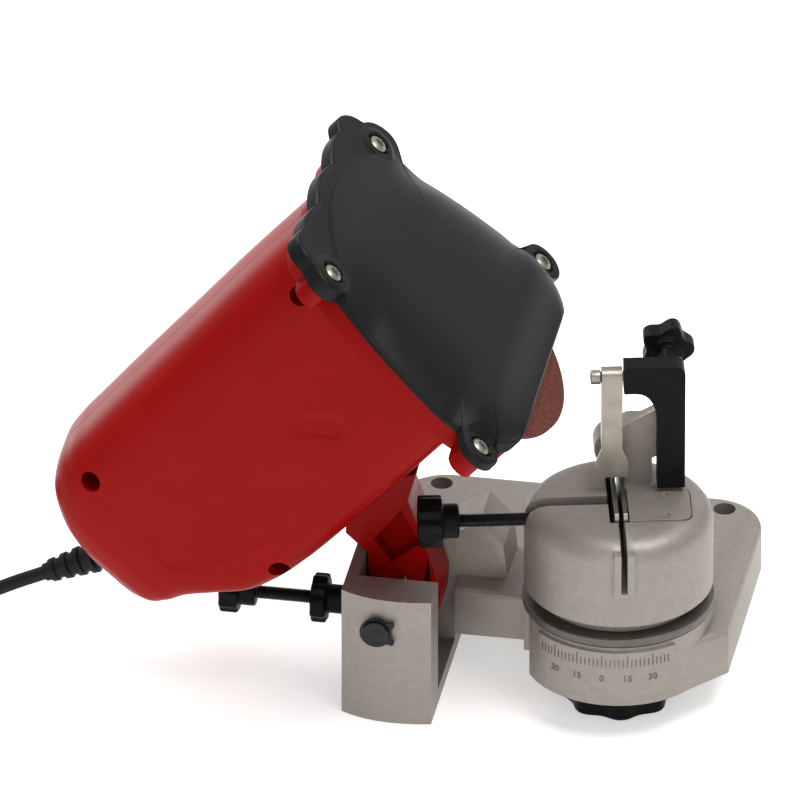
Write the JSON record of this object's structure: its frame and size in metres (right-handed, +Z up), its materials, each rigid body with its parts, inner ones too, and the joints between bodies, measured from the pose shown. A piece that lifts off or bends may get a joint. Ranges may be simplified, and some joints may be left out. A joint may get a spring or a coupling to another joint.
{
  "type": "chainsaw sharpener",
  "caption": "Bench-mounted electric chainsaw sharpener: a hinged red motor head with a guarded grinding disc over a turning cast vise that clamps the saw chain",
  "frame": {"origin": "midway between the two bench bolts, on the underside of the bench plate", "axes": "+X to the right along the bench edge, +Y back over the bench, +Z up"},
  "size_m": [0.4632, 0.1951, 0.2295],
  "materials": {
    "cast_metal": "sand cast, satin",
    "red_plastic": "fine satin",
    "black_plastic": "fine texture",
    "steel": "zinc plated",
    "dark_steel": "black oxide",
    "abrasive": "gritty",
    "rubber": "matt",
    "copper": "wound"
  },
  "bodies": {
    "base": {"base_casting": "cast_metal", "hinge_pin": "dark_steel", "pin_clip": "dark_steel", "return_spring": "steel", "cord_run": "rubber", "cord_coil": "rubber", "cord_tail": "rubber", "plug_body": "rubber", "plug_pin_left": "steel", "plug_pin_right": "steel"},
    "stop_screw": {"stop_rod": "dark_steel"},
    "stop_end": {"stop_end_knob": "black_plastic"},
    "stop_lock": {"stop_lock_knob": "black_plastic"},
    "vise": {"vise_ring": "dark_steel", "vise_head": "cast_metal", "fixed_jaw": "steel", "jaw_plate": "steel", "pivot_stud": "steel", "lock_washer": "steel"},
    "jaw": {"moving_jaw": "steel"},
    "clamp_screw": {"clamp_rod": "dark_steel"},
    "clamp_handle": {"clamp_knob": "black_plastic"},
    "angle_lock": {"angle_lock_knob": "black_plastic"},
    "chain_stop": {"stop_elbow": "black_plastic", "pawl_bolt": "steel"},
    "star": {"star_knob": "black_plastic"},
    "pawl": {"chain_pawl": "steel"},
    "head": {"front_shell": "red_plastic", "rear_shell": "red_plastic", "head_arm": "red_plastic", "motor_flange": "red_plastic", "disc_guard": "black_plastic", "motor_stator": "steel", "front_bearing": "steel", "rear_bearing": "steel", "cord_boot": "rubber", "shell_screw_1": "dark_steel", "shell_screw_2": "dark_steel", "shell_screw_3": "dark_steel", "guard_screw_1": "steel", "guard_screw_2": "steel", "guard_screw_3": "steel", "guard_screw_4": "steel"},
    "spindle": {"motor_rotor": "copper", "grinding_disc": "abrasive", "inner_flange": "steel", "outer_flange": "steel", "spindle_nut": "steel"},
    "switch": {"power_switch": "black_plastic"}
  },
  "joints": [
    {"name": "head_swing", "type": "hinge", "parent": "base", "child": "head", "pos_m": [-0.0646, -0.09, 0.0273], "axis": [0, 1, 0], "range_deg": [0, 10], "stiffness_Nm_per_rad": 0.8, "springref_deg": -34.38},
    {"name": "disc_spin", "type": "hinge", "parent": "head", "child": "spindle", "pos_m": [-0.0351, -0.09, 0.1507], "axis": [0.6652, 0, 0.7466], "continuous": true},
    {"name": "switch_rock", "type": "slide", "parent": "head", "child": "switch", "axis": [0, -1, 0], "range_m": [0, 0.0015], "stiffness_N_per_m": 400},
    {"name": "stop_travel", "type": "slide", "parent": "base", "child": "stop_screw", "axis": [1, 0, 0], "range_m": [-0.004, 0]},
    {"name": "stop_end_turn", "type": "hinge", "parent": "stop_screw", "child": "stop_end", "pos_m": [-0.13, -0.09, 0.0153], "axis": [1, 0, 0], "range_deg": [-2900, 0.5]},
    {"name": "stop_lock_turn", "type": "hinge", "parent": "base", "child": "stop_lock", "pos_m": [-0.09, -0.09, 0.0153], "axis": [1, 0, 0], "continuous": true},
    {"name": "vise_turn", "type": "hinge", "parent": "base", "child": "vise", "pos_m": [0.0302, -0.09, 0], "axis": [0, 0, 1], "range_deg": [-138, 22]},
    {"name": "jaw_grip", "type": "slide", "parent": "vise", "child": "jaw", "axis": [0.9744, 0.225, 0], "range_m": [0, 0.0012]},
    {"name": "clamp_travel", "type": "slide", "parent": "vise", "child": "clamp_screw", "axis": [0.9744, 0.225, 0], "range_m": [-0.005, 0]},
    {"name": "clamp_turn", "type": "hinge", "parent": "clamp_screw", "child": "clamp_handle", "pos_m": [-0.03801, -0.10575, 0.068], "axis": [0.9744, 0.225, 0], "range_deg": [-2900, 0.5]},
    {"name": "angle_lock_turn", "type": "hinge", "parent": "vise", "child": "angle_lock", "pos_m": [0.0302, -0.09, -0.009], "axis": [0, 0, 1], "continuous": true},
    {"name": "chain_stop_travel", "type": "slide", "parent": "vise", "child": "chain_stop", "axis": [0.225, -0.9744, 0], "range_m": [0, 0.004]},
    {"name": "star_turn", "type": "hinge", "parent": "vise", "child": "star", "pos_m": [0.04469, -0.05586, 0.1282], "axis": [-0.225, 0.9744, 0], "range_deg": [-0.5, 1500]},
    {"name": "pawl_swing", "type": "hinge", "parent": "chain_stop", "child": "pawl", "pos_m": [0.02564, -0.08182, 0.1302], "axis": [-0.9744, -0.225, 0], "range_deg": [0, 60]}
  ],
  "couplings": [
    {"joint": "stop_end_turn", "follows": "stop_travel", "rad_per_m": 6283.2},
    {"joint": "clamp_turn", "follows": "clamp_travel", "rad_per_m": 6283.2},
    {"joint": "star_turn", "follows": "chain_stop_travel", "rad_per_m": 6283.2}
  ]
}
